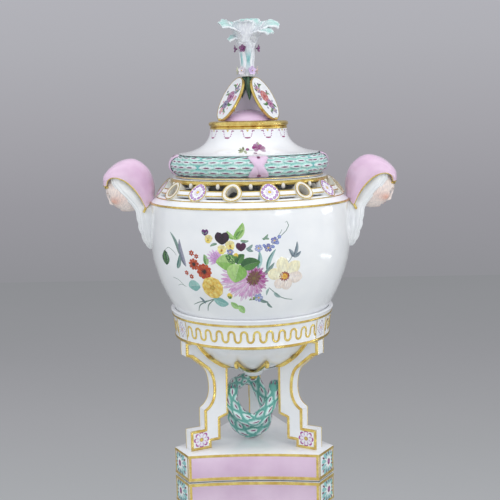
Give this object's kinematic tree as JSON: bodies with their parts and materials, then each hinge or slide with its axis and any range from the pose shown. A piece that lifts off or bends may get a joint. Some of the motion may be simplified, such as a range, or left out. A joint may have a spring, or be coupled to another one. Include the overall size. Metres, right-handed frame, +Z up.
{
  "type": "lidded vase",
  "caption": "Porcelain potpourri vase with a lift-off lid, a pierced shoulder gallery, draped mask handles and a three-legged stand on a plinth.",
  "frame": {"origin": "on the vase's vertical axis, in the plane that the plinth's foot rests on", "axes": "+Z up along the axis, -Y towards the front, +X towards the handle on the viewer's right"},
  "size_m": [0.236, 0.1604, 0.3632],
  "materials": {
    "white_glaze": "clear glossy glaze over white porcelain with painted enamels",
    "pink_glaze": "pale pink enamel ground under a glossy glaze, gold lines on its edges",
    "teal_glaze": "modelled leaves washed with pale teal enamel, glossy",
    "purple_glaze": "purple enamel on modelled petals, glossy",
    "green_glaze": "dark green enamel on modelled leaves, glossy",
    "gilt": "burnished gilding over the glaze"
  },
  "bodies": {
    "vase": {"plinth": "pink_glaze", "leg_front_right": "white_glaze", "leg_front_left": "white_glaze", "leg_rear": "white_glaze", "stand_ring": "white_glaze", "garland": "teal_glaze", "vase_body": "white_glaze", "leaf_cup": "white_glaze", "pendant": "white_glaze", "pierced_gallery": "white_glaze", "handle_head_right": "white_glaze", "handle_hood_right": "pink_glaze", "handle_hair_right": "white_glaze", "handle_head_left": "white_glaze", "handle_hood_left": "pink_glaze", "handle_hair_left": "white_glaze"},
    "lid": {"lid_skirt": "white_glaze", "lid_wreath": "teal_glaze", "wreath_tie_1": "pink_glaze", "wreath_tie_2": "pink_glaze", "wreath_tie_3": "pink_glaze", "wreath_tie_4": "pink_glaze", "lid_collar": "gilt", "medallion_1": "white_glaze", "medallion_2": "white_glaze", "medallion_3": "white_glaze", "finial_root": "green_glaze", "finial_trunk": "white_glaze", "finial_leaf_1": "teal_glaze", "finial_leaf_2": "teal_glaze", "finial_leaf_3": "teal_glaze", "finial_leaf_4": "teal_glaze", "finial_leaf_5": "teal_glaze", "finial_leaf_6": "teal_glaze", "finial_leaf_7": "teal_glaze", "finial_leaf_8": "teal_glaze", "blossom_1": "pink_glaze", "blossom_2": "pink_glaze", "blossom_3": "pink_glaze", "blossom_4": "pink_glaze", "blossom_5": "pink_glaze", "blossom_6": "pink_glaze", "purple_blossom_1": "purple_glaze", "purple_blossom_2": "purple_glaze", "purple_blossom_3": "purple_glaze"}
  },
  "joints": [
    {"name": "lid_lift", "type": "slide", "parent": "vase", "child": "lid", "axis": [0, 0, 1], "range_m": [0, 0.1]}
  ]
}
